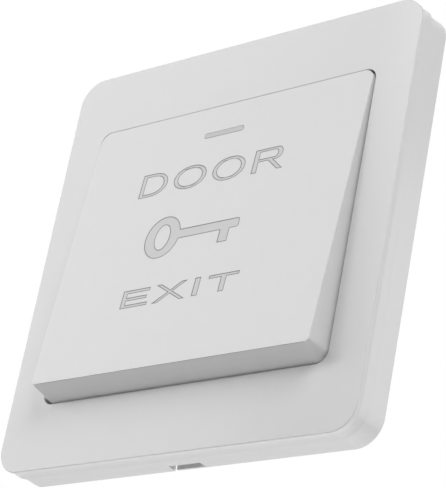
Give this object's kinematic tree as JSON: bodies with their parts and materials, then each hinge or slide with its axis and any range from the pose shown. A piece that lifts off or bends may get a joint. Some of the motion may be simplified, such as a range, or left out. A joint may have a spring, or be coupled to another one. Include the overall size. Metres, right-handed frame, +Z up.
{
  "type": "door exit button",
  "caption": "Square wall plate with a large wedge-shaped push rocker on a hinge, spring returned, over a two-terminal push-to-make switch in a closed well behind the plate.",
  "frame": {"origin": "centre of the plate on the wall's surface", "axes": "+X to the right seen from the front, +Y into the wall, +Z up"},
  "size_m": [0.086, 0.0318, 0.086],
  "materials": {
    "cover_plastic": "satin white moulded plastic",
    "base_plastic": "plain white moulded plastic",
    "rocker_plastic": "satin white moulded plastic",
    "strip_plastic": "pale grey translucent bar",
    "nylon": "natural nylon",
    "brass": "stamped brass strip",
    "contact_silver": "silver alloy rivet",
    "zinc_steel": "zinc-plated steel",
    "spring_steel": "drawn spring wire"
  },
  "bodies": {
    "frame": {"face_frame": "cover_plastic", "base_plate": "base_plastic", "rear_cover": "base_plastic", "terminal_left": "brass", "terminal_right": "brass", "fixed_contact_left": "contact_silver", "fixed_contact_right": "contact_silver", "terminal_screw_left": "zinc_steel", "terminal_screw_right": "zinc_steel", "wire_clamp_left": "zinc_steel", "wire_clamp_right": "zinc_steel", "cover_screw_left": "zinc_steel", "cover_screw_right": "zinc_steel", "rocker_spring_left": "spring_steel", "rocker_spring_right": "spring_steel", "plunger_spring": "spring_steel"},
    "rocker": {"rocker_button": "rocker_plastic", "indicator_strip": "strip_plastic"},
    "plunger": {"switch_plunger": "nylon", "contact_bridge": "brass", "bridge_contact_left": "contact_silver", "bridge_contact_right": "contact_silver"}
  },
  "joints": [
    {"name": "rocker_press", "type": "hinge", "parent": "frame", "child": "rocker", "pos_m": [0, -0.004, 0.02452], "axis": [1, 0, 0], "range_deg": [0, 4.2], "stiffness_Nm_per_rad": 0.35, "springref_deg": -5.16, "deforming": ["rocker_spring_left", "rocker_spring_right"]},
    {"name": "plunger_slide", "type": "slide", "parent": "frame", "child": "plunger", "axis": [0, 1, 0], "range_m": [0, 0.00256], "stiffness_N_per_m": 12, "springref_m": -0.002, "deforming": ["plunger_spring"]}
  ],
  "couplings": [
    {"joint": "plunger_slide", "follows": "rocker_press", "m_per_rad": 0.03455}
  ]
}
